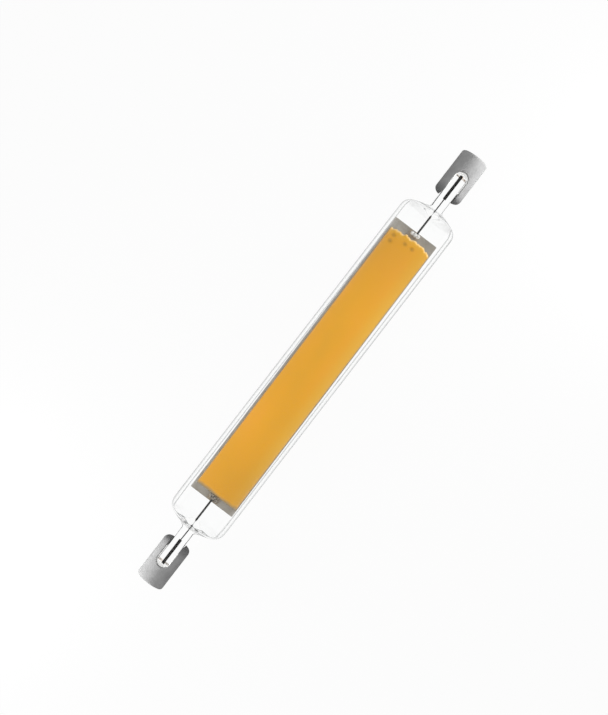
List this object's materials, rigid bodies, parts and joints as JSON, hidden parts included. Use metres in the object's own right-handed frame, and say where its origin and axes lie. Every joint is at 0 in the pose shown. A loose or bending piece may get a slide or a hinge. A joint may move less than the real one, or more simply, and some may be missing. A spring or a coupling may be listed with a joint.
{
  "type": "linear led bulb",
  "caption": "Double-ended linear LED lamp: coated LED board on wire leads in a clear glass tube with press seals and slotted ceramic end caps holding recessed contacts.",
  "frame": {"origin": "centre of the lamp on its axis, midway between the two end faces", "axes": "+X along the lamp towards the end with the wavy coat edge, +Z out of the board's front face, +Y across the board"},
  "size_m": [0.1176, 0.014, 0.014],
  "materials": {
    "clear_glass": "clear, polished",
    "cap_ceramic": "grey steatite, matte",
    "cap_cement": "cement, rough",
    "contact_metal": "plated, satin",
    "foil_metal": "molybdenum foil, dull",
    "lead_wire": "drawn molybdenum wire",
    "board_ceramic": "fired, smooth",
    "pad_metal": "printed silver",
    "solder": "cast solder, uneven",
    "led_die": "sapphire die",
    "driver_die": "silicon die",
    "phosphor_silicone": "phosphor-filled silicone, satin"
  },
  "bodies": {
    "root": {"glass_envelope": "clear_glass", "end_cap_left": "cap_ceramic", "end_cap_right": "cap_ceramic", "end_cement_left": "cap_cement", "end_cement_right": "cap_cement", "end_contact_left": "contact_metal", "end_contact_right": "contact_metal", "seal_foil_left": "foil_metal", "seal_foil_right": "foil_metal", "outer_lead_left": "lead_wire", "outer_lead_right": "lead_wire", "inner_lead_left": "lead_wire", "inner_lead_right": "lead_wire", "led_board": "board_ceramic", "terminal_pad_left": "pad_metal", "terminal_pad_right": "pad_metal", "solder_joint_left": "solder", "solder_joint_right": "solder", "led_dies_front": "led_die", "led_dies_back": "led_die", "driver_dies": "driver_die", "phosphor_coat_front": "phosphor_silicone", "phosphor_coat_back": "phosphor_silicone"}
  },
  "joints": []
}
